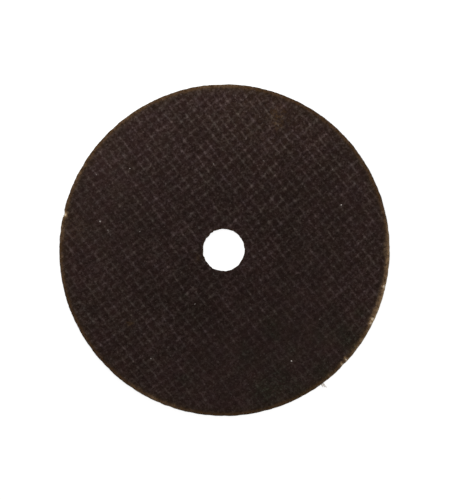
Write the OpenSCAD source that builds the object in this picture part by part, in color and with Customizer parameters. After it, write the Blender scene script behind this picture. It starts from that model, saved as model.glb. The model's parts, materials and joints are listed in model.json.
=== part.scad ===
// Flat cut-off wheel: one pressed disc of bonded abrasive with a plain arbor hole.
// A woven glass mesh lies at each face. It shows as a grid of strand crests with a
// shallow hollow in every opening of the weave, and stops short of the rim and the hole.
// The wheel lies flat, with its axis on Z and its lower face on Z = 0.

/* [Wheel] */
// Outside diameter of the wheel
wheel_d = 76.2; // [60:0.1:79]
// Thickness over the flat lands
wheel_t = 1.6; // [0.8:0.1:4]
// Diameter of the arbor hole
bore_d = 9.53; // [6:0.01:25.4]
// Chamfer on both edges of the rim
rim_chamfer = 0.2; // [0.05:0.05:0.3]

/* [Bare lands] */
// Width of bare abrasive between the mesh and the rim
rim_land = 0.8; // [0.5:0.1:3]
// Width of bare abrasive between the mesh and the arbor hole
bore_land = 0.5; // [0.3:0.1:3]

/* [Glass mesh] */
// Distance between warp strands
warp_pitch = 1.92; // [1.8:0.01:4]
// Distance between weft strands
weft_pitch = 1.86; // [1.8:0.01:4]
// Distance of the nearest warp strand from the wheel's centre
warp_shift = 0.56; // [0:0.01:1]
// Distance of the nearest weft strand from the wheel's centre
weft_shift = 0.29; // [0:0.01:1]
// Angle from the X axis to the direction in which the warp strands are counted
mesh_turn = 37.4; // [0:0.1:90]
// How far a weft strand has bowed where it reaches the edge of the mesh
weft_bow = 1.7; // [0:0.1:4]
// Depth of the hollow in each opening of the weave, below the strand crests
hollow_depth = 0.18; // [0.04:0.01:0.3]
// Depth of the strand crests below the flat lands
crest_sink = 0.02; // [0.01:0.01:0.05]

/* [Hidden] */
$fn = 180;

// How far a cutting solid reaches past the face that it cuts
overcut = 1;
abrasive_colour = [0.17, 0.13, 0.12];

bore_r = bore_d / 2;
wheel_r = wheel_d / 2;
mesh_inner_r = bore_r + bore_land;
mesh_outer_r = wheel_r - rim_land;
crest_z = wheel_t - crest_sink;

// Columns of mesh openings lie between neighbouring warp strands
column_min = floor((-mesh_outer_r - warp_shift) / warp_pitch);
column_max = ceil((mesh_outer_r - warp_shift) / warp_pitch);
columns = [column_min : column_max - 1];

// Rows of mesh openings lie between neighbouring weft strands
row_min = floor((-mesh_outer_r - weft_shift - weft_bow) / weft_pitch) - 1;
row_max = ceil((mesh_outer_r - weft_shift) / weft_pitch) + 1;

function warp_at(i) = warp_shift + i * warp_pitch;
function bow_at(u) = weft_bow * pow(u / mesh_outer_r, 2);

// Crossing of warp strand i and weft strand j, seen along the wheel's axis
function crossing(i, j) = [warp_at(i), weft_shift + j * weft_pitch + bow_at(warp_at(i))];

// Middle of the opening between strands i and i + 1, j and j + 1
function opening_middle(i, j) =
    (crossing(i, j) + crossing(i + 1, j) + crossing(i, j + 1) + crossing(i + 1, j + 1)) / 4;

// Half the length of the mesh along column i, measured where the column is longest
function nearest_u(i) = warp_at(i) > 0 ? warp_at(i) : warp_at(i + 1) < 0 ? -warp_at(i + 1) : 0;
function half_column(i) = sqrt(max(0, pow(mesh_outer_r, 2) - pow(nearest_u(i), 2)));

// First and last rows that column i needs to cover the mesh's circle
function low_bow(i) = min(bow_at(warp_at(i)), bow_at(warp_at(i + 1)), bow_at(nearest_u(i)));
function high_bow(i) = max(bow_at(warp_at(i)), bow_at(warp_at(i + 1)));
function first_row(i) = floor((-half_column(i) - weft_shift - high_bow(i)) / weft_pitch);
function last_row(i) = ceil((half_column(i) - weft_shift - low_bow(i)) / weft_pitch) - 1;
function in_mesh(i, j) =
    i >= column_min && i < column_max && j >= first_row(i) && j <= last_row(i);

// Turns a point of the mesh into the wheel's directions at height z
function turned(p, z) = [
    p.x * cos(mesh_turn) - p.y * sin(mesh_turn),
    p.x * sin(mesh_turn) + p.y * cos(mesh_turn),
    z
];

// The woven core: its two faces are the strand crests and hollows of both meshes.
// Each crossing is a crest point, each opening has one point at the bottom of its hollow,
// and the same grid is repeated at the lower face.
module woven_core() {
    strands = column_max - column_min + 1;
    per_layer = strands * (row_max - row_min + 1);
    rows = [row_min : row_max];

    upper_crests = [for (j = rows, i = [column_min : column_max]) turned(crossing(i, j), crest_z)];
    upper_hollows = [for (j = rows, i = [column_min : column_max])
        turned(opening_middle(i, j), crest_z - hollow_depth)];
    lower_crests = [for (p = upper_crests) [p.x, p.y, crest_sink]];
    lower_hollows = [for (p = upper_hollows) [p.x, p.y, crest_sink + hollow_depth]];

    function crest(i, j) = (j - row_min) * strands + i - column_min;
    function hollow(i, j) = per_layer + crest(i, j);
    function under(k) = k + 2 * per_layer;
    function corners(i, j) = [crest(i, j), crest(i + 1, j), crest(i + 1, j + 1), crest(i, j + 1)];

    // Neighbour of an opening across the side that starts at corner k
    function neighbour(i, j, k) = [[i, j - 1], [i + 1, j], [i, j + 1], [i - 1, j]][k];

    openings = [for (i = columns, j = [first_row(i) : last_row(i)]) [i, j]];
    sides = [0 : 3];
    upper_faces = [for (o = openings, k = sides) let (c = corners(o.x, o.y))
        [hollow(o.x, o.y), c[(k + 1) % 4], c[k]]];
    lower_faces = [for (o = openings, k = sides) let (c = corners(o.x, o.y))
        [under(hollow(o.x, o.y)), under(c[k]), under(c[(k + 1) % 4])]];
    edge_faces = [for (o = openings, k = sides)
        let (c = corners(o.x, o.y), n = neighbour(o.x, o.y, k), a = c[k], b = c[(k + 1) % 4])
        if (!in_mesh(n.x, n.y)) [a, b, under(b), under(a)]];

    polyhedron(
        points = concat(upper_crests, upper_hollows, lower_crests, lower_hollows),
        faces = concat(upper_faces, lower_faces, edge_faces),
        convexity = 8
    );
}

// What is pressed out of the plain disc: the ring of the mesh, less the woven core
module mesh_recesses() {
    difference() {
        translate([0, 0, -overcut])
            difference() {
                cylinder(r = mesh_outer_r, h = wheel_t + 2 * overcut);
                translate([0, 0, -overcut])
                    cylinder(r = mesh_inner_r, h = wheel_t + 4 * overcut);
            }
        woven_core();
    }
}

// Plain disc with its arbor hole and chamfered rim
module pressed_disc() {
    rotate_extrude()
        polygon([
            [bore_r, 0],
            [wheel_r - rim_chamfer, 0],
            [wheel_r, rim_chamfer],
            [wheel_r, wheel_t - rim_chamfer],
            [wheel_r - rim_chamfer, wheel_t],
            [bore_r, wheel_t]
        ]);
}

module cut_off_wheel() {
    color(abrasive_colour)
        difference() {
            pressed_disc();
            mesh_recesses();
        }
}

cut_off_wheel();
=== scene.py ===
"""Dresses the cut-off wheel: its woven glass faces, bare lands, broken rim and abrasive grit.

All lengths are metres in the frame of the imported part, which lies flat with its axis on Z.
"""

import json
import logging
import math
from dataclasses import dataclass
from enum import Enum, IntEnum
from typing import Any, Dict, List, Optional, Sequence, Tuple, Union

import bpy
import numpy as np
from mathutils import Matrix, Vector

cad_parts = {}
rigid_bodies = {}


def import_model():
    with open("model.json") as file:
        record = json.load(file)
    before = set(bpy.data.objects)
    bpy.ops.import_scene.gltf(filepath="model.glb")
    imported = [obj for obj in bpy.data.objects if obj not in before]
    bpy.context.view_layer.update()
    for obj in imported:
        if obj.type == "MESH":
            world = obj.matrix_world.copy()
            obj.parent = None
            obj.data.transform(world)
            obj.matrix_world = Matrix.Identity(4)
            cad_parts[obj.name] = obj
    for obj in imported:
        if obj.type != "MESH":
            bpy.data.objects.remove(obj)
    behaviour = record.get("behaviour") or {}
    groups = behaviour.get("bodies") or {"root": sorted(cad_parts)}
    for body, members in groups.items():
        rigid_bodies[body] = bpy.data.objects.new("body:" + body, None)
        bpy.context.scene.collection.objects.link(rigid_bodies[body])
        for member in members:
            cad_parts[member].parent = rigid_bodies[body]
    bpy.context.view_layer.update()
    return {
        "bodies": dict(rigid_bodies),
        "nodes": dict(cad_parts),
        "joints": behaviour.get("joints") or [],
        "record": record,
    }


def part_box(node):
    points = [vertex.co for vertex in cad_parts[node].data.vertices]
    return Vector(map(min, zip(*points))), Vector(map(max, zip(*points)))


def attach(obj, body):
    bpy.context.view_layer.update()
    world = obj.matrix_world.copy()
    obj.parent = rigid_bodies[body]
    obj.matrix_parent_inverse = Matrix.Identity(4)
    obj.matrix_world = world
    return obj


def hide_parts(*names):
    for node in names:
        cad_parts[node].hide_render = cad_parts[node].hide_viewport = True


LOG = logging.getLogger("cut_off_wheel")

MM = 0.001
BODY = "root"
NODE = "cut_off_wheel"
BORE_MOUNT = "arbor_bore"
WEAVE_UV = "weave_counts"

Array = np.ndarray
Number = Union[float, Array]
Piece = bpy.types.Object
Socket = bpy.types.NodeSocket
Value = Union[float, Socket]
Colour = Tuple[float, float, float, float]
Cloud = Tuple[float, float, float]
Span = Tuple[float, ...]
Noise = Tuple[float, int]


class Trait(Enum):
    """Values that a mesh carries at its points for its material to read."""

    WEAR = "wear"
    WARM = "warm_stain"
    COOL = "cool_stain"
    FAINT = "faint_weave"
    TONE = "grain_tone"


class Surface(IntEnum):
    """Surfaces of the wheel that take a finish of their own, in the order of its slots."""

    FACE = 0
    RIM = 1
    BORE = 2


class GridState(IntEnum):
    """Where a point of the weave's grid lies: outside the face, on its edge or within it."""

    OUTSIDE = 0
    EDGE = 1
    WITHIN = 2


def srgb(*screen: float) -> Colour:
    """Turns a colour as a screen shows it into the linear one that a shader takes.

    Args:
        *screen: Red, green and blue levels from 0 to 255.

    Returns:
        The linear colour with an alpha of 1.
    """
    levels = np.array(screen) / 255.0
    linear = np.where(levels <= 0.04045, levels / 12.92, ((levels + 0.055) / 1.055) ** 2.4)
    return (*linear.tolist(), 1.0)


def lattice_values(cells: Array, seed: int) -> Array:
    """Gives each cell of an endless cubic lattice a fixed value from 0 to 1.

    The cell's three counts are multiplied by large primes, added, and mixed by shifts.

    Args:
        cells: Whole-number cell counts, one row of three for each cell.
        seed: Picks one of many independent sets of values.

    Returns:
        One value for each row.
    """
    primes = np.array([73856093, 19349663, 83492791], dtype=np.int64)
    seed_step, stirrer = np.int64(40503), np.int64(1274126177)
    mixed = cells.astype(np.int64) @ primes + np.int64(seed) * seed_step
    mixed = (mixed ^ (mixed >> 13)) * stirrer
    mixed = mixed ^ (mixed >> 16)
    return (mixed & 0xFFFF) / float(0xFFFF)


def value_noise(points: Array, cell: float, seed: int) -> Array:
    """Smooth noise: lattice values blended with s*s*(3 - 2s) between a point's eight corners.

    Args:
        points: Places, one row of three for each.
        cell: Edge of the lattice's cells.
        seed: Picks the set of lattice values.

    Returns:
        Noise from 0 to 1 at each place.
    """
    scaled = points / cell
    base = np.floor(scaled)
    share = scaled - base
    share = share * share * (3.0 - 2.0 * share)
    total = np.zeros(len(points))
    for corner in np.ndindex(2, 2, 2):
        step = np.array(corner)
        weight = np.where(step == 1, share, 1.0 - share).prod(axis=1)
        total += weight * lattice_values(base + step, seed)
    return total


def smooth_step(value: Array, low: Number, high: Number) -> Array:
    """Rises from 0 at low to 1 at high as s*s*(3 - 2s), and falls where low is above high."""
    share = np.clip((value - low) / (high - low), 0.0, 1.0)
    return share * share * (3.0 - 2.0 * share)


def flat_points(x: Array, y: Array) -> Array:
    """Rows of X, Y and a height of 0, for noise that doesn't change with the height."""
    return np.stack([x.ravel(), y.ravel(), np.zeros(x.size)], axis=1)


@dataclass(frozen=True)
class WornStretch:
    """A stretch of the rim where the dark resin has worn off the abrasive."""

    angle_deg: float
    spread_deg: float
    strength: float

    def bell(self, angles: Array) -> Array:
        """Bell curve of the turn in degrees to the stretch's middle, by the shorter way round."""
        turn = np.abs((angles - self.angle_deg + 180.0) % 360.0 - 180.0)
        return np.exp(-((turn / self.spread_deg) ** 2))


@dataclass(frozen=True)
class Chip(WornStretch):
    """A bite out of the rim's upper edge, or through a share of the rim below it too."""

    depth: float
    through: float = 0.0


@dataclass(frozen=True)
class Spot:
    """A round spot on the upper face: a soft patch of some strength, or a grain of some tone."""

    x: float
    y: float
    size: float
    level: float


def spots(*rows: Tuple[float, float, float, float]) -> Tuple[Spot, ...]:
    """Makes spots from rows of X, Y and size in millimetres, and level."""
    return tuple(Spot(x * MM, y * MM, size * MM, level) for x, y, size, level in rows)


def patch_strength(patches: Sequence[Spot], x: Array, y: Array) -> Array:
    """Adds up soft patches, each a bell curve of the distance to its middle.

    Args:
        patches: The patches to add.
        x: X of each place.
        y: Y of each place.

    Returns:
        The strength at each place.
    """
    total = np.zeros_like(x)
    for patch in patches:
        away = ((x - patch.x) ** 2 + (y - patch.y) ** 2) / patch.size ** 2
        total += patch.level * np.exp(-away)
    return total


RIM_WEAR = (
    WornStretch(-17.0, 10.0, 0.7),
    WornStretch(-5.0, 9.0, 0.56),
    WornStretch(-9.0, 3.0, 0.68),
    WornStretch(7.0, 7.0, 0.25),
    WornStretch(-33.0, 9.0, 0.2),
    WornStretch(-46.0, 6.0, 0.12),
    WornStretch(-115.0, 9.0, 0.2),
    WornStretch(-174.0, 8.0, 0.1),
    WornStretch(168.0, 8.0, 0.24),
    WornStretch(154.0, 9.0, 0.17),
    WornStretch(120.0, 22.0, 0.08),
    WornStretch(92.0, 12.0, 0.13),
    WornStretch(34.0, 12.0, 0.07),
)

RIM_CHIPS = (
    Chip(167.3, 0.7, 1.2, 0.5 * MM, 0.3),
    Chip(-13.0, 0.7, 0.92, 0.2 * MM),
    Chip(-21.6, 0.5, 0.72, 0.1 * MM),
    Chip(-25.0, 0.7, 1.1, 0.28 * MM),
    Chip(-26.6, 0.6, 0.9, 0.22 * MM),
    Chip(-41.7, 0.5, 1.0, 0.22 * MM),
    Chip(-43.8, 0.5, 0.8, 0.4 * MM, 0.8),
)

WEFT_PULLS = spots(
    (-7.4, -2.9, 17.6, 0.54),
    (-15.9, 27.4, 11.1, -0.43),
    (27.6, -26.4, 15.1, -0.49),
    (12.8, 12.3, 15.4, 0.53),
    (27.1, 21.9, 22.0, -0.44),
    (0.6, 4.5, 15.5, -0.7),
)

WARM_STAINS = spots(
    (9.0, 30.0, 13.0, 0.08),
    (12.6, 31.0, 1.6, 0.4),
    (12.4, 28.6, 1.0, 0.45),
    (-21.6, -16.8, 0.8, 0.7),
    (-5.8, -1.7, 0.9, 0.35),
    (-31.0, 21.5, 2.0, 0.2),
    (-35.5, 5.0, 4.0, 0.14),
)

COOL_STAINS = spots(
    (10.9, -17.6, 2.2, 0.55),
    (12.0, -20.1, 1.3, 0.5),
    (4.6, -24.0, 2.0, 0.5),
    (3.7, -27.0, 1.2, 0.35),
    (15.5, -23.1, 1.3, 0.35),
    (21.9, -20.1, 1.7, 0.5),
    (26.8, -17.8, 2.4, 0.5),
    (28.9, -21.0, 2.0, 0.55),
    (31.2, -14.4, 1.4, 0.45),
    (22.4, -27.7, 2.2, 0.5),
    (12.9, -30.0, 3.6, 0.6),
    (8.8, -33.0, 3.0, 0.7),
    (17.6, -31.2, 2.4, 0.4),
    (-9.0, -10.9, 1.3, 0.5),
    (-6.7, -14.1, 1.5, 0.5),
    (-9.0, -29.4, 1.2, 0.45),
)

FAINT_PATCHES = spots(
    (20.0, -19.0, 13.0, 0.6),
    (-1.0, -29.0, 12.0, 0.36),
    (28.0, 10.0, 10.0, 0.35),
    (-28.0, 11.0, 13.0, 0.34),
    (-26.0, -9.0, 14.0, 0.22),
    (2.0, -36.0, 30.0, 0.42),
    (-25.0, 21.0, 12.0, 0.16),
    (-12.0, -13.0, 10.0, -0.22),
)

# Bright grains on the upper face: pale grains whose near-white colour paints their highlights.
BRIGHT_SPECKS = spots(
    (15.6, -25.4, 0.23, 1.0),
    (-28.5, 6.6, 0.21, 0.95),
    (27.0, 10.2, 0.2, 0.94),
    (25.1, 18.3, 0.18, 0.86),
    (-19.3, 4.3, 0.18, 0.87),
    (-6.6, -12.4, 0.19, 0.87),
    (-2.3, 19.7, 0.17, 0.87),
    (-21.6, 18.8, 0.2, 0.88),
    (-16.7, -24.9, 0.17, 0.9),
    (-26.7, 4.6, 0.16, 0.9),
    (-29.4, 17.4, 0.17, 0.88),
    (9.2, 20.4, 0.17, 0.86),
    (22.1, -15.9, 0.18, 0.86),
    (36.7, -8.5, 0.2, 0.97),
    (34.2, -15.7, 0.24, 1.0),
    (33.5, -16.9, 0.24, 0.95),
    (28.1, -25.1, 0.24, 0.97),
)


@dataclass(frozen=True)
class WheelSizes:
    """The wheel's main sizes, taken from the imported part."""

    radius: float
    bore_radius: float
    thickness: float

    @classmethod
    def from_frame(cls, frame: Dict[str, Any]) -> "WheelSizes":
        """Reads the sizes from the node's box and the arbor hole's mount.


        Returns:
            The sizes in metres.
        """
        low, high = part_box(NODE)
        mounts = {mount["name"]: mount for mount in frame["record"]["mounts"]}
        bore_mm = mounts[BORE_MOUNT]["dims"]["r_mm"]
        return cls((high[0] - low[0]) / 2.0, bore_mm * MM, high[2] - low[2])


@dataclass(frozen=True)
class GlassMesh:
    """The woven glass mesh, with places on it given as counts of warp and weft strands.

    A place at warp count p and weft count q lies at u = shift + p * pitch across the warp and
    v = shift + q * pitch + bow * (u / reach)^2 across the weft, turned about the wheel's axis.
    """

    reach: float
    inner_reach: float
    warp_pitch: float = 1.91 * MM
    weft_pitch: float = 1.85 * MM
    warp_shift: float = 0.6 * MM
    weft_shift: float = 0.19 * MM
    turn: float = math.radians(37.4)
    bow: float = 1.7 * MM
    hollow_depth: float = 0.18 * MM
    hollow_share: float = 0.94
    crest_sink: float = 0.02 * MM
    strand_share: float = 0.155
    weft_rise: float = 0.36
    over_under: float = 0.16
    slow_wander: float = 0.07
    slow_cells: float = 6.0
    quick_wander: float = 0.14
    quick_cells: float = 1.4
    warp_seed: int = 3
    weft_seed: int = 5
    quick_seed_step: int = 14
    edge_ramp: float = 0.16 * MM

    def place(self, warp: Array, weft: Array) -> Tuple[Array, Array]:
        """Turns strand counts into places on the wheel.

        Args:
            warp: Counts of warp strands.
            weft: Counts of weft strands.

        Returns:
            The X and Y of each place.
        """
        across = self.warp_shift + warp * self.warp_pitch
        along = self.weft_shift + weft * self.weft_pitch + self.bow * (across / self.reach) ** 2
        cosine, sine = math.cos(self.turn), math.sin(self.turn)
        return across * cosine - along * sine, across * sine + along * cosine

    def woven_place(self, warp: Array, weft: Array) -> Tuple[Array, Array]:
        """Places on strands that wander: the pulls of the weft and noise first shift the counts.

        Args:
            warp: Counts of warp strands.
            weft: Counts of weft strands.

        Returns:
            The X and Y of each place.
        """
        flat = flat_points(warp, weft)
        pulled = weft + patch_strength(WEFT_PULLS, *self.place(warp, weft))
        moved = []
        for seed, count in ((self.warp_seed, warp), (self.weft_seed, pulled)):
            slow = self.slow_wander * (value_noise(flat, self.slow_cells, seed) - 0.5)
            quick_noise = value_noise(flat, self.quick_cells, seed + self.quick_seed_step)
            quick = self.quick_wander * (quick_noise - 0.5)
            moved.append(count + (slow + quick).reshape(warp.shape))
        return self.place(*moved)

    def counts(self, x: Array, y: Array) -> Tuple[Array, Array]:
        """Turns places on the wheel into strand counts, as the inverse of place.

        Args:
            x: X of each place.
            y: Y of each place.

        Returns:
            The warp and weft counts of each place.
        """
        cosine, sine = math.cos(self.turn), math.sin(self.turn)
        across = x * cosine + y * sine
        along = y * cosine - x * sine
        bowed = along - self.weft_shift - self.bow * (across / self.reach) ** 2
        return (across - self.warp_shift) / self.warp_pitch, bowed / self.weft_pitch

    def relief(self, warp: Array, weft: Array) -> Array:
        """Height of the weave from 0 in a hollow to 1 on a crest.

        Each strand is a bell curve exp(-(d / share)^2) of the distance d to its middle, raised
        where it passes over the other set and lowered where it passes under, by the product
        of two cosines that changes sign from each crossing to the next. Weft strands rise
        less. Strands combine as 1 - (1 - warp)(1 - weft).

        Args:
            warp: Counts of warp strands.
            weft: Counts of weft strands.

        Returns:
            The relief at each place.
        """
        over = np.cos(np.pi * warp) * np.cos(np.pi * weft) * self.over_under
        firm = 1.0 - self.over_under
        warp_bell = np.exp(-((warp - np.round(warp)) / self.strand_share) ** 2)
        weft_bell = np.exp(-((weft - np.round(weft)) / self.strand_share) ** 2)
        weft_height = self.weft_rise * weft_bell * (firm - over)
        return 1.0 - (1.0 - warp_bell * (firm + over)) * (1.0 - weft_height)

    def extent(self, radius: Array) -> Array:
        """How far the mesh is present: 1 inside its ring, 0 on the bare lands.

        Args:
            radius: Distance of each place from the wheel's axis.

        Returns:
            The presence at each place.
        """
        ends = self.inner_reach - self.edge_ramp, self.inner_reach + self.edge_ramp
        outer = smooth_step(radius, self.reach + self.edge_ramp, self.reach - self.edge_ramp)
        return outer * smooth_step(radius, *ends)


def fill_mesh(name: str, points: Array, faces: List[List[int]], smooth: bool = True) -> Piece:
    """Makes a mesh object at the origin.

    Args:
        name: Name of the object and its mesh.
        points: Corner places, one row of three for each.
        faces: Corner numbers of each face, anticlockwise seen from outside.
        smooth: True for smooth shading, False for sharp facets.

    Returns:
        The object, linked to the scene.
    """
    mesh = bpy.data.meshes.new(name)
    mesh.from_pydata(points.tolist(), [], faces)
    mesh.polygons.foreach_set("use_smooth", np.full(len(mesh.polygons), smooth))
    mesh.update()
    piece = bpy.data.objects.new(name, mesh)
    bpy.context.scene.collection.objects.link(piece)
    return piece


def add_trait(piece: Piece, trait: Trait, values: Array) -> None:
    """Stores one value at each of a piece's points, under a name that the material reads."""
    layer = piece.data.attributes.new(trait.value, "FLOAT", "POINT")
    layer.data.foreach_set("value", values.astype(np.float32))


class NodeDesk:
    """Adds nodes to one node tree and wires them up."""

    def __init__(self, tree: bpy.types.NodeTree) -> None:
        """Takes the tree that the nodes go in."""
        self.tree = tree

    def put(self, socket: Socket, value: Any) -> None:
        """Links a socket to another one, or sets it to a constant.

        Args:
            socket: The input socket.
            value: The output socket to link it to, or the constant.
        """
        if isinstance(value, Socket):
            self.tree.links.new(value, socket)
        else:
            socket.default_value = value

    def add(self, kind: str, inputs: Optional[Dict[Any, Any]] = None, **settings: Any) -> Any:
        """Adds a node, sets its properties and feeds its inputs.

        Args:
            kind: Blender's name for the type of node.
            inputs: Sockets or constants that the inputs take, by name or number.
            **settings: Properties of the node and their values.

        Returns:
            The new node's outputs.
        """
        node = self.tree.nodes.new(kind)
        for name, value in settings.items():
            setattr(node, name, value)
        for key, value in (inputs or {}).items():
            self.put(node.inputs[key], value)
        return node.outputs

    def math(self, operation: str, *values: Value) -> Socket:
        """One step of arithmetic on up to three values."""
        return self.add("ShaderNodeMath", dict(enumerate(values)), operation=operation)[0]

    def times(self, first: Value, second: Value) -> Socket:
        """The product of two values."""
        return self.math("MULTIPLY", first, second)

    def span(self, value: Value, *ends: Value) -> Socket:
        """Smoothly carries a value from one span over to another, or to the span 0 to 1.

        Args:
            value: The value.
            *ends: Both ends of the span it comes from, then of the span it goes to.

        Returns:
            The socket with the carried value.
        """
        inputs = dict(enumerate((value, *ends)))
        return self.add("ShaderNodeMapRange", inputs, interpolation_type="SMOOTHSTEP")[0]

    def mix(self, share: Value, first: Any, second: Any, blend: str = "MIX") -> Socket:
        """Blends two colours.

        Args:
            share: How much of the second colour there is, from 0 to 1.
            first: The first colour, or a socket that gives it.
            second: The second colour, or a socket that gives it.
            blend: Blender's name for the way of blending.

        Returns:
            The socket with the blended colour.
        """
        inputs = {0: share, 6: first, 7: second}
        return self.add("ShaderNodeMix", inputs, data_type="RGBA", blend_type=blend)[2]

    def tint(self, colour: Socket, by: Any) -> Socket:
        """Multiplies a colour by another one."""
        return self.mix(1.0, colour, by, "MULTIPLY")

    def noise(self, place: Socket, scale: Value, detail: float, roughness: float) -> Any:
        """Cloudy noise from 0 to 1.

        Args:
            place: Socket with the place.
            scale: Clouds to a unit of the place.
            detail: Number of finer layers.
            roughness: Strength of the finer layers.

        Returns:
            A socket with one noise, then one with a noise in each channel of a colour.
        """
        inputs = {"Vector": place, "Scale": scale, "Detail": detail, "Roughness": roughness}
        return self.add("ShaderNodeTexNoise", inputs)

    def cloud(self, place: Socket, cloud: Cloud) -> Socket:
        """Cloudy noise from 0 to 1, by the clouds' size, detail and roughness."""
        size, detail, roughness = cloud
        return self.noise(place, 1.0 / size, detail, roughness)[0]

    def trait(self, trait: Trait) -> Socket:
        """Reads a value that the mesh carries at its points."""
        return self.add("ShaderNodeAttribute", attribute_name=trait.value)["Fac"]

    def group(self, tree: bpy.types.NodeTree, **values: Any) -> Any:
        """Places a node group, with its inputs by name and an underscore for each blank."""
        inputs = {name.replace("_", " "): value for name, value in values.items()}
        return self.add("ShaderNodeGroup", inputs, node_tree=tree)


class NodeGroups:
    """The shader node groups that the finishes share, each built once."""

    drift: Cloud = (0.9, 2.0, 0.5)
    strand_middle: float = 0.02
    grit_detail: float = 4.0
    grit_roughness: float = 0.65
    grain_dome: Span = (0.75, 0.05)

    def __init__(self) -> None:
        """Builds the groups."""
        self.weave = self.build_weave()
        self.grit = self.build_grit()

    @staticmethod
    def start(
        name: str, place: str, floats: Sequence[str], results: Sequence[str]
    ) -> Tuple[NodeDesk, Any, Any]:
        """Starts a shader node group with named sockets.

        Args:
            name: Name of the group.
            place: Name of the input socket with the place.
            floats: Names of the other input sockets.
            results: Names of the output sockets.

        Returns:
            A desk for the group's tree, its inputs and its outputs.
        """
        tree = bpy.data.node_groups.new(name, "ShaderNodeTree")
        sockets = [("INPUT", place, "NodeSocketVector")]
        sockets += [("INPUT", title, "NodeSocketFloat") for title in floats]
        sockets += [("OUTPUT", title, "NodeSocketFloat") for title in results]
        for way, title, kind in sockets:
            tree.interface.new_socket(name=title, in_out=way, socket_type=kind)
        desk = NodeDesk(tree)
        return desk, desk.add("NodeGroupInput"), tree.nodes.new("NodeGroupOutput").inputs

    def build_weave(self) -> bpy.types.NodeTree:
        """The strands of the glass mesh, from strand counts.

        A strand's mask falls off with the distance from a place to the nearest whole count.
        Slow noise lets the strands wander, and two cosines say which strand lies on top.

        Returns:
            The group's tree.
        """
        desk, given, made = self.start(
            "glass_weave",
            "Counts",
            ("Warp Share", "Weft Share", "Wander"),
            ("Warp", "Weft", "Hollow", "Over"),
        )
        counts = desk.add("ShaderNodeSeparateXYZ", {0: given["Counts"]})
        drift = desk.noise(given["Counts"], *self.drift)[1]
        swings = desk.add("ShaderNodeSeparateColor", {0: drift})
        masks = []
        waves = []
        for axis, share in enumerate((given["Warp Share"], given["Weft Share"])):
            swing = desk.math("SUBTRACT", swings[axis], 0.5)
            count = desk.math("ADD", counts[axis], desk.times(swing, given["Wander"]))
            away = desk.math("PINGPONG", count, 0.5)
            masks.append(desk.span(away, share, self.strand_middle))
            waves.append(desk.math("COSINE", desk.times(count, math.pi)))
        hollow = desk.times(*(desk.math("SUBTRACT", 1.0, mask) for mask in masks))
        for socket, value in zip(made, (*masks, hollow, desk.times(*waves))):
            desk.put(socket, value)
        return desk.tree

    def build_grit(self) -> bpy.types.NodeTree:
        """Abrasive grit: packed grains with a tone each, and fine roughness between them.

        Returns:
            The group's tree.
        """
        desk, given, made = self.start(
            "abrasive_grit", "Place", ("Grains Per Metre",), ("Tone", "Grain", "Height")
        )
        place, scale = given["Place"], given["Grains Per Metre"]
        cells = desk.add("ShaderNodeTexVoronoi", {"Vector": place, "Scale": scale})
        tones = desk.add("ShaderNodeSeparateColor", {0: cells["Color"]})
        cloud = desk.noise(place, scale, self.grit_detail, self.grit_roughness)[0]
        dome = desk.span(cells["Distance"], *self.grain_dome)
        height = desk.times(dome, desk.math("ADD", cloud, tones[1]))
        for socket, value in zip(made, (cloud, tones[0], height)):
            desk.put(socket, value)
        return desk.tree


class FinishDesk(NodeDesk):
    """A desk for one material, with the place on its piece and the grit there at hand."""

    def __init__(self, tree: bpy.types.NodeTree, groups: NodeGroups, grain_size: float) -> None:
        """Adds the nodes for the place and the grit.

        Args:
            tree: The material's tree.
            groups: The shared node groups.
            grain_size: Size of the grit's grains.
        """
        super().__init__(tree)
        self.groups = groups
        self.place = self.add("ShaderNodeTexCoord")["Object"]
        self.grit = self.group(groups.grit, Place=self.place, Grains_Per_Metre=1.0 / grain_size)


@dataclass(frozen=True, kw_only=True)
class Finish:
    """A surface finish: one material built from nodes round a Principled BSDF."""

    name: str
    roughness: float
    grain_size: float
    specular: float = 0.04
    bump_height: float = 0.05 * MM

    def colour(self, desk: FinishDesk) -> Socket:
        """Gives the socket with the colour, in each finish's own way."""
        raise NotImplementedError

    def build(self, groups: NodeGroups) -> bpy.types.Material:
        """Builds the material, with the height of the grit as its bump.

        Args:
            groups: The shared node groups.

        Returns:
            The material.
        """
        material = bpy.data.materials.new(self.name)
        material.use_nodes = True
        desk = FinishDesk(material.node_tree, groups, self.grain_size)
        bump = {"Strength": 1.0, "Distance": self.bump_height, "Height": desk.grit["Height"]}
        settings = {
            "Base Color": self.colour(desk),
            "Roughness": self.roughness,
            "Specular IOR Level": self.specular,
            "Normal": desk.add("ShaderNodeBump", bump)[0],
        }
        shader = material.node_tree.nodes["Principled BSDF"]
        for name, value in settings.items():
            desk.put(shader.inputs[name], value)
        return material


@dataclass(frozen=True, kw_only=True)
class AbrasiveFinish(Finish):
    """A finish whose dark resin wears off the paler abrasive."""

    worn: Colour
    chipped: Colour
    chip_span: Span = (0.62, 0.95)

    def worn_off(self, desk: FinishDesk, coloured: Socket, rubbed: Socket) -> Socket:
        """Bares the abrasive by the wear that the mesh carries, most of all in the chips.

        Args:
            desk: The material's desk.
            coloured: The colour without wear.
            rubbed: Noise that breaks up the wear.

        Returns:
            The socket with the worn colour.
        """
        wear = desk.trait(Trait.WEAR)
        coloured = desk.mix(desk.times(wear, rubbed), coloured, self.worn)
        return desk.mix(desk.span(wear, *self.chip_span), coloured, self.chipped)


@dataclass(frozen=True)
class FaceValues:
    """Values over the woven face that more than one layer of its finish uses."""

    patchy: Socket
    knots: Socket
    cloudy: Socket
    faint: Socket
    radius: Socket


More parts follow.
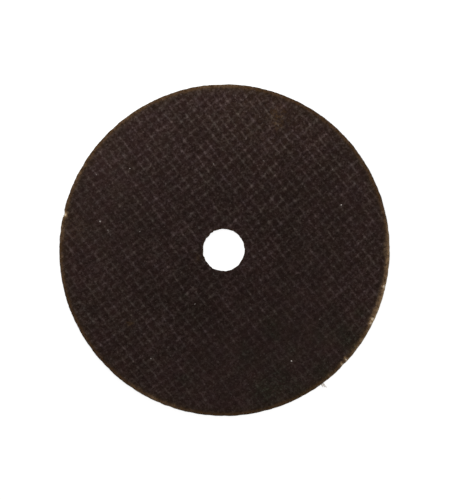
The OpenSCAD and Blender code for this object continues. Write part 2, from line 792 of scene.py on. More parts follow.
@dataclass(frozen=True, kw_only=True)
class WovenFaceFinish(AbrasiveFinish):
    """Dark resin and grit with the paler strands of the glass mesh, browner at bare edges, with painted
    highlights on the strands and painted shade in the weave's hollows.

    The clouds of stretches and tints are sized in strand counts, and the other clouds in metres.
    """

    sizes: WheelSizes
    mesh: GlassMesh
    grain_size: float = 0.4 * MM
    # Painted shade: the resin a little darker in the weave's hollows.
    shaded_hollow_resin: Colour = srgb(33, 21, 18)
    resin: Colour = srgb(34, 22, 19)
    strand: Colour = srgb(74, 63, 60)
    # Paler bare glass at the strands' knots, lightened further as painted highlights on them.
    glass: Colour = srgb(96, 83, 79)
    bare: Colour = srgb(60, 41, 22)
    soiled: Colour = srgb(36, 27, 17)
    worn: Colour = srgb(128, 104, 78)
    chipped: Colour = srgb(196, 176, 146)
    warm: Colour = srgb(70, 51, 28)
    cool: Colour = (0.76, 1.02, 0.85, 1.0)
    plain: Colour = (1.0, 1.0, 1.0, 1.0)
    deep: Colour = srgb(15, 6, 4)
    pale: Colour = srgb(74, 62, 58)
    ruddy: Colour = (1.025, 1.0, 0.97, 1.0)
    dusky: Colour = (0.975, 1.0, 1.025, 1.0)
    purple: Colour = (1.046, 0.987, 1.054, 1.0)
    green: Colour = (0.954, 1.013, 0.95, 1.0)
    patch_cloud: Cloud = (0.6 * MM, 1.5, 0.6)
    knot_cloud: Cloud = (0.62 * MM, 1.0, 0.5)
    bank_cloud: Cloud = (6.0 * MM, 2.0, 0.5)
    stain_cloud: Cloud = (3.4 * MM, 3.0, 0.6)
    stretch_cloud: Cloud = (1.5, 2.0, 0.5)
    tint_cloud: Cloud = (1.9, 2.0, 0.5)
    warp_share: float = 0.21
    weft_share: float = 0.31
    wander: float = 0.1
    warp_level: float = 0.62
    weft_level: float = 0.5
    over_level: float = 0.08
    fading: float = 0.8
    dulling: float = 0.055
    calming: float = 0.36
    rub_span: Span = (0.38, 0.68, 0.12, 1.0)
    rise_span: Span = (0.3, 0.62, 0.2, 1.0)
    # Where the knot noise puts the painted highlights on the strands.
    painted_glint_span: Span = (0.6, 0.8)
    bank_span: Span = (0.35, 0.65, 0.0, 0.5)
    tint_span: Span = (0.35, 0.65)
    ragged_edge: float = 0.9 * MM
    rim_land: Span = (0.05 * MM, 0.25 * MM)
    bore_land: Span = (0.6 * MM, 0.2 * MM)
    bore_bareness: float = 0.5
    soil_depth: float = 1.6 * MM
    soil_level: float = 0.5
    grain_level: float = 0.3
    cloud_level: float = 0.7
    hole_span: Span = (0.5, 0.2, 0.0, 0.74)
    lump_span: Span = (0.5, 0.8, 0.0, 0.54)
    wear_span: Span = (0.3, 0.6, 0.2, 1.4)
    warm_span: Span = (0.35, 0.65)
    cool_span: Span = (0.3, 0.6, 0.7, 1.5)
    # How far out and how strongly the colour grows lighter towards the rim.
    lightening_reach: Span = (0.35, 1.1)
    lightening_levels: Span = (0.83, 1.22)
    shade_span: Span = (0.3, 0.7, 0.9, 1.1)

    def woven(self, desk: FinishDesk, at: FaceValues) -> Socket:
        """The weave: pale strands that add up where they cross, with painted highlights on them, on a
        dark ground painted a little darker in the hollows.

        Args:
            desk: The material's desk.
            at: The values that the layers share.

        Returns:
            The socket with the colour.
        """
        counts = desk.add("ShaderNodeUVMap", uv_map=WEAVE_UV)[0]
        weave = desk.group(
            desk.groups.weave,
            Counts=counts,
            Warp_Share=self.warp_share,
            Weft_Share=self.weft_share,
            Wander=self.wander,
        )
        over_warp = desk.math("MULTIPLY_ADD", weave["Over"], self.over_level, self.warp_level)
        over_weft = desk.math("MULTIPLY_ADD", weave["Over"], -self.over_level, self.weft_level)
        warp = desk.times(weave["Warp"], over_warp)
        weft = desk.times(weave["Weft"], over_weft)
        rubbed = desk.span(at.patchy, *self.rub_span)
        raised = desk.span(desk.cloud(counts, self.stretch_cloud), *self.rise_span)
        shown = desk.math("MULTIPLY_ADD", at.faint, -self.fading, 1.0)
        crossed = desk.math("MULTIPLY_ADD", warp, weft, desk.math("ADD", warp, weft))
        strand = desk.times(desk.times(crossed, shown), desk.times(rubbed, raised))
        # Painted highlights: bright spots on the strands where the knot noise is high.
        painted_glint = desk.times(desk.math("MAXIMUM", warp, weft), desk.span(at.knots, *self.painted_glint_span))

        # Painted shade in the weave's hollows.
        ground = desk.mix(weave["Hollow"], self.resin, self.shaded_hollow_resin)
        ground = desk.mix(desk.span(at.cloudy, *self.bank_span), ground, self.resin)
        ground = desk.mix(desk.times(at.faint, self.dulling), ground, self.strand)
        coloured = desk.mix(strand, ground, self.strand)
        coloured = desk.mix(desk.times(painted_glint, shown), coloured, self.glass)
        tinted = desk.span(desk.cloud(counts, self.tint_cloud), *self.tint_span)
        stained = desk.span(desk.cloud(desk.place, self.stain_cloud), *self.tint_span)
        coloured = desk.tint(coloured, desk.mix(tinted, self.dusky, self.ruddy))
        return desk.tint(coloured, desk.mix(stained, self.green, self.purple))

    def edged(self, desk: FinishDesk, at: FaceValues, coloured: Socket) -> Socket:
        """Lets the weave end at ragged bare lands by the rim and the hole.

        Args:
            desk: The material's desk.
            at: The values that the layers share.
            coloured: The colour of the weave.

        Returns:
            The socket with the colour.
        """
        sizes, mesh = self.sizes, self.mesh
        ragged = desk.math("MULTIPLY_ADD", at.patchy, self.ragged_edge, at.radius)
        rim = desk.span(ragged, mesh.reach + self.rim_land[0], sizes.radius + self.rim_land[1])
        bore_ends = (mesh.inner_reach + self.bore_land[0], sizes.bore_radius + self.bore_land[1])
        bore = desk.span(ragged, *bore_ends, 0.0, self.bore_bareness)
        soil = desk.span(ragged, mesh.reach - self.soil_depth, sizes.radius, 0.0, self.soil_level)
        coloured = desk.mix(soil, coloured, self.soiled)
        return desk.mix(desk.math("MAXIMUM", rim, bore), coloured, self.bare)

    def gritty(self, desk: FinishDesk, at: FaceValues, coloured: Socket) -> Socket:
        """Darkens the holes between grains and lightens the grains.

        Args:
            desk: The material's desk.
            at: The values that the layers share.
            coloured: The colour without grit.

        Returns:
            The socket with the colour.
        """
        cloud = desk.times(desk.grit["Tone"], self.cloud_level)
        grain = desk.math("MULTIPLY_ADD", desk.grit["Grain"], self.grain_level, cloud)
        calm = desk.math("MULTIPLY_ADD", at.faint, -self.calming, 1.0)
        for span, tone in ((self.hole_span, self.deep), (self.lump_span, self.pale)):
            coloured = desk.mix(desk.times(desk.span(grain, *span), calm), coloured, tone)
        return coloured

    def stained_and_lightened(self, desk: FinishDesk, at: FaceValues, coloured: Socket) -> Socket:
        """Adds the warm and cool stains, and makes the colour lighter towards the rim.

        Args:
            desk: The material's desk.
            at: The values that the layers share.
            coloured: The clean colour.

        Returns:
            The socket with the colour.
        """
        warm = desk.times(desk.trait(Trait.WARM), desk.span(at.patchy, *self.warm_span))
        cool = desk.times(desk.trait(Trait.COOL), desk.span(at.knots, *self.cool_span))
        coloured = desk.mix(warm, coloured, self.warm)
        coloured = desk.tint(coloured, desk.mix(cool, self.plain, self.cool))
        # The colour grows lighter towards the rim.
        reach = [share * self.sizes.radius for share in self.lightening_reach]
        rim_lightening = desk.span(at.radius, *reach, *self.lightening_levels)
        shade = desk.times(rim_lightening, desk.span(at.cloudy, *self.shade_span))
        grey = desk.add("ShaderNodeCombineColor", {0: shade, 1: shade, 2: shade})[0]
        return desk.tint(coloured, grey)

    def colour(self, desk: FinishDesk) -> Socket:
        """Lays the weave, the bare lands, grit, wear, stains and the lightening towards the rim over each
        other.

        Args:
            desk: The material's desk.

        Returns:
            The socket with the colour.
        """
        level = {0: desk.place, 1: (1.0, 1.0, 0.0)}
        flat = {0: desk.add("ShaderNodeVectorMath", level, operation="MULTIPLY")[0]}
        at = FaceValues(
            patchy=desk.cloud(desk.place, self.patch_cloud),
            knots=desk.cloud(desk.place, self.knot_cloud),
            cloudy=desk.cloud(desk.place, self.bank_cloud),
            faint=desk.trait(Trait.FAINT),
            radius=desk.add("ShaderNodeVectorMath", flat, operation="LENGTH")["Value"],
        )
        coloured = self.gritty(desk, at, self.edged(desk, at, self.woven(desk, at)))
        coloured = self.worn_off(desk, coloured, desk.span(at.patchy, *self.wear_span))
        return self.stained_and_lightened(desk, at, coloured)


@dataclass(frozen=True, kw_only=True)
class BrokenEdgeFinish(AbrasiveFinish):
    """Bare abrasive at the rim or in the hole: tan-brown grains in dark resin."""

    grain_size: float = 0.22 * MM
    resin: Colour = srgb(42, 30, 21)
    grain: Colour = srgb(96, 74, 51)
    worn: Colour = srgb(158, 134, 102)
    chipped: Colour = srgb(206, 188, 158)
    patch_cloud: Cloud = (0.8 * MM, 3.0, 0.6)
    patch_span: Span = (0.3, 0.7, 0.25, 1.0)
    wear_span: Span = (0.3, 0.6, 0.3, 1.5)

    def colour(self, desk: FinishDesk) -> Socket:
        """Patches of paler grains in the resin, with the wear over them.

        Args:
            desk: The material's desk.

        Returns:
            The socket with the colour.
        """
        patchy = desk.span(desk.cloud(desk.place, self.patch_cloud), *self.patch_span)
        coloured = desk.mix(desk.times(desk.grit["Grain"], patchy), self.resin, self.grain)
        return self.worn_off(desk, coloured, desk.span(desk.grit["Tone"], *self.wear_span))


@dataclass(frozen=True, kw_only=True)
class GrainFinish(Finish):
    """Grains of abrasive: mostly brown-black, some paler, and rare pale ones painted near-white as
    highlights.
    """

    grain_size: float = 0.12 * MM
    dark: Colour = srgb(30, 21, 18)
    pale: Colour = srgb(80, 68, 64)
    clear: Colour = srgb(206, 197, 190)
    pale_span: Span = (0.1, 0.8)
    highlight_white_span: Span = (0.8, 1.0)
    soil_span: Span = (0.3, 0.7, 0.0, 0.4)

    def colour(self, desk: FinishDesk) -> Socket:
        """A colour by each grain's tone, soiled with the dark one.

        Args:
            desk: The material's desk.

        Returns:
            The socket with the colour.
        """
        tone = desk.trait(Trait.TONE)
        coloured = desk.mix(desk.span(tone, *self.pale_span), self.dark, self.pale)
        # Painted highlights: the near-white colour of the brightest grains.
        coloured = desk.mix(desk.span(tone, *self.highlight_white_span), coloured, self.clear)
        return desk.mix(desk.span(desk.grit["Tone"], *self.soil_span), coloured, self.dark)


@dataclass(frozen=True, kw_only=True)
class FibreFinish(Finish):
    """Bare glass fibre pulled out of the resin: pale brownish grey with darker streaks."""

    grain_size: float = 0.15 * MM
    bare: Colour = srgb(246, 240, 233)
    soiled: Colour = srgb(230, 221, 212)
    soil_span: Span = (0.35, 0.65)

    def colour(self, desk: FinishDesk) -> Socket:
        """Bare fibre, soiled in streaks."""
        return desk.mix(desk.span(desk.grit["Tone"], *self.soil_span), self.bare, self.soiled)


@dataclass
class WheelBody:
    """The wheel's one closed surface, with both woven faces, the rim and the arbor hole."""

    sizes: WheelSizes
    mesh: GlassMesh
    chamfer: float = 0.2 * MM
    line_shares: Tuple[float, ...] = (0.0, 0.13, 0.37, 0.63, 0.87)
    rim_depths: Tuple[float, ...] = (0.02, 0.05, 0.11, 0.22, 0.36, 0.5, 0.64, 0.78, 0.89, 0.95, 0.98)
    bore_depths: Tuple[float, ...] = (0.04, 0.12, 0.35, 0.65, 0.88, 0.96)
    rim_erosion: float = 0.22 * MM
    rim_power: float = 1.5
    bore_erosion: float = 0.36 * MM
    bore_threshold: float = 0.3
    coarse_noise: Noise = (1.5 * MM, 41)
    fine_noise: Noise = (0.42 * MM, 43)
    broken_noise: Noise = (0.8 * MM, 47)
    wall_stretch: float = 0.35
    most_wear: float = 0.6
    rim_belt: Span = (0.75 * MM, 0.15 * MM)
    chip_belt: Span = (1.25 * MM, 0.6 * MM)
    chip_drop: float = 0.35
    worn_drop: float = 0.2
    least_wear_belt: float = 0.8 * MM
    ragged_wear_belt: float = 1.3 * MM
    wear_belt_end: float = 0.2 * MM
    bore_belt: float = 0.5 * MM
    edge_span: Span = (0.25, 0.8)
    stain_span: Span = (0.3, 0.7)
    face_noise_sizes: Tuple[float, ...] = (1.1 * MM, 0.5 * MM, 0.33 * MM)
    least_hold: float = 0.34
    lump_hold: float = 0.4
    knot_hold: float = 0.44
    faint_loss: float = 0.5
    grit_height: float = 0.045 * MM
    grit_loss: float = 0.3
    upper_seed: int = 11
    lower_seed: int = 29

    def weave_lines(self, pitch: float) -> Array:
        """Strand counts at which the grid has lines: several to each pitch, past the rim.

        Args:
            pitch: Distance between strands.

        Returns:
            The counts in rising order.
        """
        most = math.ceil((self.sizes.radius + self.mesh.bow) / pitch) + 2
        whole = np.arange(-most, most)
        return (whole[:, None] + np.array(self.line_shares)[None, :]).ravel()

    def snapped_grid(self) -> Tuple[Array, ...]:
        """A grid along the strands with its edge points moved onto the two circles.

        Wherever a line of the grid crosses the edge of the hole or of the face, the nearer of
        the two grid points beside the crossing is moved along its radius onto that circle.

        Returns:
            X and Y of the grid points, their warp and weft counts, and the state of each.
        """
        lines = [self.weave_lines(pitch) for pitch in (self.mesh.warp_pitch, self.mesh.weft_pitch)]
        warp, weft = np.meshgrid(*lines, indexing="ij")
        x, y = self.mesh.woven_place(warp, weft)
        radius = np.hypot(x, y)
        face_radius = self.sizes.radius - self.chamfer
        within = (radius > self.sizes.bore_radius) & (radius < face_radius)
        state = np.where(within, GridState.WITHIN, GridState.OUTSIDE)
        target = np.where(radius < face_radius / 2.0, self.sizes.bore_radius, face_radius)
        away = np.abs(radius - target)
        for near, far in ((np.s_[:-1, :], np.s_[1:, :]), (np.s_[:, :-1], np.s_[:, 1:])):
            crosses = within[near] != within[far]
            first = crosses & (away[near] <= away[far])
            second = crosses & (away[near] > away[far])
            state[near] = np.where(first, GridState.EDGE, state[near])
            state[far] = np.where(second, GridState.EDGE, state[far])
        scale = np.where(state == GridState.EDGE, target / np.maximum(radius, MM), 1.0)
        return x * scale, y * scale, warp, weft, state

    @staticmethod
    def cells(state: Array) -> Tuple[Array, Array]:
        """Picks the grid cells that make up a face.

        A cell with no outside corner and at least one within is a quad. A cell with one
        outside corner across from a corner within is the triangle of its other three.

        Args:
            state: State of each grid point.

        Returns:
            Corner numbers of the quads and of the triangles, anticlockwise from above.
        """
        number = np.arange(state.size).reshape(state.shape)
        around = (np.s_[:-1, :-1], np.s_[1:, :-1], np.s_[1:, 1:], np.s_[:-1, 1:])
        corners = np.stack([number[part].ravel() for part in around], axis=1)
        states = np.stack([state[part].ravel() for part in around], axis=1)
        within = states == GridState.WITHIN
        outside = states == GridState.OUTSIDE
        missing_count = outside.sum(axis=1)
        quads = corners[(missing_count == 0) & within.any(axis=1)]
        triangles = []
        for missing in range(4):
            order = [(missing + turn) % 4 for turn in (1, 2, 3)]
            picked = (missing_count == 1) & outside[:, missing] & within[:, order[1]]
            triangles.append(corners[picked][:, order])
        return quads, np.concatenate(triangles)

    def face_depth(self, x: Array, y: Array, warp: Array, weft: Array, seed: int) -> Array:
        """Depth of a face below its lands, with the weave, lumpy resin and fine grit.

        The hollows lie deepest, and a strand's crest is sunk where the noise of lumps and
        knots or a faint patch holds it down. Grit adds its own depth, most on the lands.

        Args:
            x: X of each point.
            y: Y of each point.
            warp: Count of warp strands at each point.
            weft: Count of weft strands at each point.
            seed: Picks the noise, so that the two faces differ.

        Returns:
            How far each point lies below the land.
        """
        flat = flat_points(x, y)
        noises = [value_noise(flat, size, seed + step) for step, size in enumerate(self.face_noise_sizes)]
        lumps, knots, grit = noises
        faint = patch_strength(FAINT_PATCHES, x, y)
        held = np.minimum(self.least_hold + self.lump_hold * lumps + self.knot_hold * knots, 1.0)
        relief = self.mesh.relief(warp, weft) * (held * (1.0 - self.faint_loss * faint))
        hollow = self.mesh.hollow_share * (1.0 - relief)
        extent = self.mesh.extent(np.hypot(x, y))
        woven = self.mesh.crest_sink + self.mesh.hollow_depth * hollow
        return woven * extent + self.grit_height * grit * (1.0 - self.grit_loss * extent)

    def build(self) -> Piece:
        """Builds the closed surface.

        The upper face is the snapped grid. The lower face repeats it with its corners the
        other way round. Bands of quads down the rim and the hole join the two.

        Returns:
            The piece.
        """
        grid = self.snapped_grid()
        quads, triangles = self.cells(grid[-1])
        kept = np.unique(np.concatenate([quads.ravel(), triangles.ravel()]))
        renumber = np.full(grid[-1].size, -1)
        renumber[kept] = np.arange(len(kept))
        quads, triangles = renumber[quads], renumber[triangles]
        x, y, warp, weft, state = (values.ravel()[kept] for values in grid)
        edge = np.flatnonzero(state == GridState.EDGE)
        edge = edge[np.argsort(np.arctan2(y[edge], x[edge]))]
        on_rim = np.hypot(x[edge], y[edge]) > self.sizes.radius / 2.0

        depths = [self.face_depth(x, y, warp, weft, seed) for seed in (self.upper_seed, self.lower_seed)]
        upper = np.stack([x, y, self.sizes.thickness - depths[0]], axis=1)
        lower = np.stack([x, y, depths[1]], axis=1)
        first = 2 * len(x)
        rim_walls, rim_points = self.wall(edge[on_rim], x, y, self.rim_depths, first)
        first += len(rim_points)
        bore_walls, bore_points = self.wall(edge[~on_rim][::-1], x, y, self.bore_depths, first)
        points = np.concatenate([upper, lower, rim_points, bore_points])
        wear = self.erode(points)

        under = [part[:, ::-1] + len(x) for part in (quads, triangles)]
        faces: List[List[int]] = []
        for part in (quads, triangles, *under, rim_walls, bore_walls):
            faces += part.tolist()
        lengths = [2 * (len(quads) + len(triangles)), len(rim_walls), len(bore_walls)]
        surfaces = np.repeat([Surface.FACE, Surface.RIM, Surface.BORE], lengths).astype(np.int32)
        piece = fill_mesh("pressed_wheel", points, faces)
        piece.data.polygons.foreach_set("material_index", surfaces)
        face_counts = np.stack([warp, weft], axis=1)
        wall_counts = np.stack(self.mesh.counts(*points[2 * len(x):, :2].T), axis=1)
        self.add_traits(piece, points, np.concatenate([face_counts, face_counts, wall_counts]), wear)
        return piece

    def wall(
        self, ring: Array, x: Array, y: Array, depths: Sequence[float], first: int
    ) -> Tuple[Array, Array]:
        """Bands of quads from a ring of the upper face down to the same ring of the lower one.

        A row at depth d (a share of the thickness) keeps the ring's angles. Its radius follows
        the rim's chamfer, rounded as chamfer * (1 - h / chamfer)^2 at a height h from an edge.

        Args:
            ring: Numbers of the ring's points in the upper face, anticlockwise for the rim and
                clockwise for the hole.
            x: X of the face's points.
            y: Y of the face's points.
            depths: Depths of the rows between the two faces.
            first: Number that the first new point gets.

        Returns:
            Corner numbers of the quads, and the new points.
        """
        heights = self.sizes.thickness * (1.0 - np.array(depths))
        edge_gap = np.minimum(heights, self.sizes.thickness - heights)
        drawn_in = self.chamfer * np.clip(1.0 - edge_gap / self.chamfer, 0.0, 1.0) ** 2
        ring_radius = np.hypot(x[ring], y[ring])
        is_rim = ring_radius[0] > self.sizes.radius / 2.0
        radii = self.sizes.radius - drawn_in if is_rim else np.full(len(depths), self.sizes.bore_radius)
        across = radii[:, None] * (x[ring] / ring_radius)[None, :]
        along = radii[:, None] * (y[ring] / ring_radius)[None, :]
        rows = np.stack([across, along, np.broadcast_to(heights[:, None], across.shape)], axis=2)
        between = first + np.arange(across.size).reshape(across.shape)
        numbers = np.concatenate([ring[None, :], between, ring[None, :] + len(x)])
        beside = np.roll(numbers, -1, axis=1)
        quads = np.stack([numbers[:-1], numbers[1:], beside[1:], beside[:-1]], axis=2)
        return quads.reshape(-1, 4), rows.reshape(-1, 3)

    @staticmethod
    def rim_chips(angles: Array, upper: Array) -> Tuple[Array, Array]:
        """The chips of the rim, each a bell curve of the turn to its middle.

        Args:
            angles: Angles round the wheel in degrees.
            upper: How far each point belongs to the rim's upper edge, from 0 to 1.

        Returns:
            How bare the chips leave the abrasive, and their depth.
        """
        bare = np.max([chip.strength * chip.bell(angles) for chip in RIM_CHIPS], axis=0)
        depths = [chip.depth * chip.bell(angles) * np.maximum(upper, chip.through) for chip in RIM_CHIPS]
        return bare, np.max(depths, axis=0)

    def erode(self, points: Array) -> Array:
        """Moves the rim inwards and the hole outwards by noise, and the rim also by its chips.

        The rim loses its erosion times a power of the mean of coarse and fine noise. The hole
        gains where a blend of broken and fine noise passes a threshold. The product of these
        two noises breaks up the wear of the rim, which ends inside at a ragged line.

        Args:
            points: All points of the wheel, changed in place.

        Returns:
            The wear of each point, from 0 to 1.
        """
        rim, bore, thickness = self.sizes.radius, self.sizes.bore_radius, self.sizes.thickness
        radius = np.hypot(points[:, 0], points[:, 1])
        angles = np.degrees(np.arctan2(points[:, 1], points[:, 0]))
        drawn = points * np.array([1.0, 1.0, self.wall_stretch])
        coarse = value_noise(drawn, *self.coarse_noise)
        fine = value_noise(drawn, *self.fine_noise)
        broken = value_noise(drawn, *self.broken_noise)
        upper = smooth_step(points[:, 2], *(share * thickness for share in self.edge_span))
        stretches = np.max([stretch.strength * stretch.bell(angles) for stretch in RIM_WEAR], axis=0)
        grainy = (0.2 + 1.5 * broken) * (0.25 + 1.5 * fine)
        wear = np.minimum(stretches * grainy, self.most_wear)
        bare, chip = self.rim_chips(angles, upper)

        near_rim = smooth_step(radius, *(rim - length for length in self.rim_belt))
        near_bore = smooth_step(radius, bore + self.bore_belt, bore)
        worn_away = self.rim_erosion * (0.5 * coarse + 0.5 * fine) ** self.rim_power
        loss = near_rim * (worn_away + chip * (0.5 + 0.5 * fine))
        torn = np.clip(0.3 * broken + 0.7 * fine - self.bore_threshold, 0.0, 1.0)
        gain = near_bore * self.bore_erosion * torn
        points[:, :2] *= (1.0 + (gain - loss) / radius)[:, None]
        drop = near_rim * (self.chip_drop * chip + self.worn_drop * worn_away) * upper
        points[:, 2] -= np.where(points[:, 2] > thickness / 2.0, drop, 0.0)

        belt = self.least_wear_belt + self.ragged_wear_belt * broken
        band = smooth_step(radius, rim - belt, rim - self.wear_belt_end)
        chipped = bare * smooth_step(radius, *(rim - length for length in self.chip_belt))
        chipped *= 0.55 + 0.5 * upper + 0.4 * (fine - 0.5)
        return np.maximum(wear * band, np.minimum(chipped, 1.0))

    def add_traits(self, piece: Piece, points: Array, counts: Array, wear: Array) -> None:
        """Stores strand counts as a UV map, and the wear and stains at the points.

        Args:
            piece: The wheel's piece.
            points: Its points.
            counts: The warp and weft count at each point.
            wear: The wear at each point.
        """
        x, y, z = points.T
        corner_points = np.empty(len(piece.data.loops), dtype=np.int32)
        piece.data.loops.foreach_get("vertex_index", corner_points)
        layer = piece.data.uv_layers.new(name=WEAVE_UV)
        layer.data.foreach_set("uv", counts[corner_points].astype(np.float32).ravel())
        upper = smooth_step(z, *(share * self.sizes.thickness for share in self.stain_span))
        add_trait(piece, Trait.WEAR, wear)
        add_trait(piece, Trait.WARM, patch_strength(WARM_STAINS, x, y) * upper)
        add_trait(piece, Trait.COOL, patch_strength(COOL_STAINS, x, y) * upper)
        add_trait(piece, Trait.FAINT, patch_strength(FAINT_PATCHES, x, y))

    def dress(self, piece: Piece, groups: NodeGroups) -> None:
        """Gives the faces, the rim and the hole their finishes, in the order of the slots.

        Args:
            piece: The wheel's piece.
            groups: The shared node groups.
        """
        hole_grain = srgb(78, 62, 46)
        finishes = {
            Surface.FACE: WovenFaceFinish(
                name="woven_face", roughness=0.78, sizes=self.sizes, mesh=self.mesh
            ),
            Surface.RIM: BrokenEdgeFinish(name="broken_rim", roughness=0.85),
            Surface.BORE: BrokenEdgeFinish(name="arbor_hole_wall", roughness=0.82, grain=hole_grain),
        }
        for surface in Surface:
            piece.data.materials.append(finishes[surface].build(groups))


@dataclass
class GritGrains:
    """Sharp grains of abrasive that stand out of the resin on both faces and on the rim."""

    wheel: WheelBody
    per_opening: float = 2.0
    on_rim: int = 1500
    smallest: float = 0.07 * MM
    largest: float = 0.14 * MM
    spread_share: float = 0.36
    sunk_share: float = 0.3
    speck_sunk_share: float = 0.8
    rim_depth: float = 0.12 * MM
    rim_heights: Span = (0.15, 0.85)
    pull: Span = (0.75, 1.15)
    stretch: Span = (0.7, 1.1)
    darkest_power: float = 1.6
    palest: float = 0.8
    clearance: float = 0.004 * MM
    seed: int = 71

    @staticmethod
    def shape() -> Tuple[Array, Array]:
        """A twenty-sided grain: two poles and two rings of five, half a step apart.

        Returns:
            The twelve corners of a grain of radius 1, and the corner numbers of its faces.
        """
        ring = np.arange(5)
        turn = np.radians(72.0) * ring
        half_step = np.radians(36.0)
        level = 1.0 / math.sqrt(5.0)
        rows = [[[0.0, 0.0, 1.0]], [[0.0, 0.0, -1.0]]]
        for angles, height in ((turn, level), (turn + half_step, -level)):
            circle = [2.0 * level * np.cos(angles), 2.0 * level * np.sin(angles)]
            rows.append(np.stack([*circle, np.full(5, height)], axis=1))
        upper, lower = 2 + ring, 7 + ring
        upper_next, lower_next = np.roll(upper, -1), np.roll(lower, -1)
        top, bottom = np.zeros_like(ring), np.ones_like(ring)
        faces = [
            np.stack([top, upper, upper_next], axis=1),
            np.stack([upper, lower, upper_next], axis=1),
            np.stack([lower, lower_next, upper_next], axis=1),
            np.stack([bottom, lower_next, lower], axis=1),
        ]
        return np.concatenate(rows), np.concatenate(faces)

    @staticmethod
    def random_turns(rng: np.random.Generator, count: int) -> Array:
        """Rotation matrices of random unit quaternions.

        Args:
            rng: Where the random numbers come from.
            count: How many matrices to make.

        Returns:
            One 3 by 3 matrix for each.
        """
        four = rng.normal(size=(count, 4))
        w, x, y, z = (four / np.linalg.norm(four, axis=1, keepdims=True)).T
        rows = [
            [1 - 2 * (y * y + z * z), 2 * (x * y - w * z), 2 * (x * z + w * y)],
            [2 * (x * y + w * z), 1 - 2 * (x * x + z * z), 2 * (y * z - w * x)],
            [2 * (x * z - w * y), 2 * (y * z + w * x), 1 - 2 * (x * x + y * y)],
        ]
        return np.moveaxis(np.array(rows), 2, 0)

    def face_grains(self, rng: np.random.Generator, upper: bool) -> Tuple[Array, Array]:
        """Grains in the openings of the weave on one face.

        Args:
            rng: Where the random numbers come from.
            upper: True for the upper face, False for the lower one.

        Returns:
            The middle and the radius of each grain.
        """
        mesh, sizes = self.wheel.mesh, self.wheel.sizes
        most = math.ceil(sizes.radius / min(mesh.warp_pitch, mesh.weft_pitch)) + 1
        count = int(self.per_opening * (2 * most) ** 2)
        whole = rng.integers(-most, most, size=(2, count)) + 0.5
        warp, weft = whole + rng.uniform(-self.spread_share, self.spread_share, size=(2, count))
        radii = rng.uniform(self.smallest, self.largest, count)
        sunk = rng.uniform(-self.sunk_share, self.sunk_share, count) * radii
        x, y = mesh.woven_place(warp, weft)
        away = np.hypot(x, y)
        kept = (away > sizes.bore_radius + 2 * self.largest) & (away < sizes.radius - 3 * self.largest)
        x, y, warp, weft, radii, sunk = (values[kept] for values in (x, y, warp, weft, radii, sunk))
        seed = self.wheel.upper_seed if upper else self.wheel.lower_seed
        depth = self.wheel.face_depth(x, y, warp, weft, seed) + sunk
        z = sizes.thickness - depth if upper else depth
        return np.stack([x, y, z], axis=1), radii

    def rim_grains(self, rng: np.random.Generator) -> Tuple[Array, Array]:
        """Grains round the rim, just under its largest radius.

        Args:
            rng: Where the random numbers come from.

        Returns:
            The middle and the radius of each grain.
        """
        sizes = self.wheel.sizes
        angles = rng.uniform(0.0, 2.0 * math.pi, self.on_rim)
        radii = rng.uniform(self.smallest, self.largest, self.on_rim)
        away = sizes.radius - self.rim_depth - radii
        heights = rng.uniform(*self.rim_heights, self.on_rim) * sizes.thickness
        return np.stack([away * np.cos(angles), away * np.sin(angles), heights], axis=1), radii

    def specks(self) -> Tuple[Array, Array]:
        """The bright grains of the upper face, pale and painted near-white as highlights, seated just
        below the strands' crests.

        Returns:
            The middle and the radius of each grain.
        """
        x, y, radii = np.array([(speck.x, speck.y, speck.size) for speck in BRIGHT_SPECKS]).T
        heights = self.wheel.sizes.thickness - self.speck_sunk_share * radii
        return np.stack([x, y, heights], axis=1), radii

    def build(self) -> Piece:
        """Builds all grains as one mesh of separate closed shells.

        Each grain is the twenty-sided shape with its corners pulled in or out, stretched along
        three axes and turned at random. Corners stop just inside the wheel's own box.

        Returns:
            The piece.
        """
        rng = np.random.default_rng(self.seed)
        sizes = self.wheel.sizes
        sets = [self.face_grains(rng, upper) for upper in (True, False)]
        sets += [self.rim_grains(rng), self.specks()]
        middles, radii = (np.concatenate(values) for values in zip(*sets))
        tones = self.palest * rng.random(len(radii)) ** self.darkest_power
        # The bright grains get the near-white tone of painted highlights.
        tones[-len(BRIGHT_SPECKS):] = [speck.level for speck in BRIGHT_SPECKS]
        corners, faces = self.shape()
        pulled = corners[None, :, :] * rng.uniform(*self.pull, size=(len(radii), len(corners), 1))
        stretched = pulled * rng.uniform(*self.stretch, size=(len(radii), 1, 3)) * radii[:, None, None]
        turned = np.einsum("nij,nkj->nki", self.random_turns(rng, len(radii)), stretched)
        points = (turned + middles[:, None, :]).reshape(-1, 3)
        points[:, 2] = np.clip(points[:, 2], self.clearance, sizes.thickness - self.clearance)
        away = np.hypot(points[:, 0], points[:, 1])
        points[:, :2] *= np.minimum(1.0, (sizes.radius - self.clearance) / away)[:, None]
        starts = len(corners) * np.arange(len(radii))
        numbers = (faces[None, :, :] + starts[:, None, None]).reshape(-1, 3)
        piece = fill_mesh("abrasive_grains", points, numbers.tolist(), smooth=False)
        add_trait(piece, Trait.TONE, np.repeat(tones, len(corners)))
        return piece

    def dress(self, piece: Piece, groups: NodeGroups) -> None:
        """Gives the grains their finish."""
        piece.data.materials.append(GrainFinish(name="abrasive_grain", roughness=0.6).build(groups))


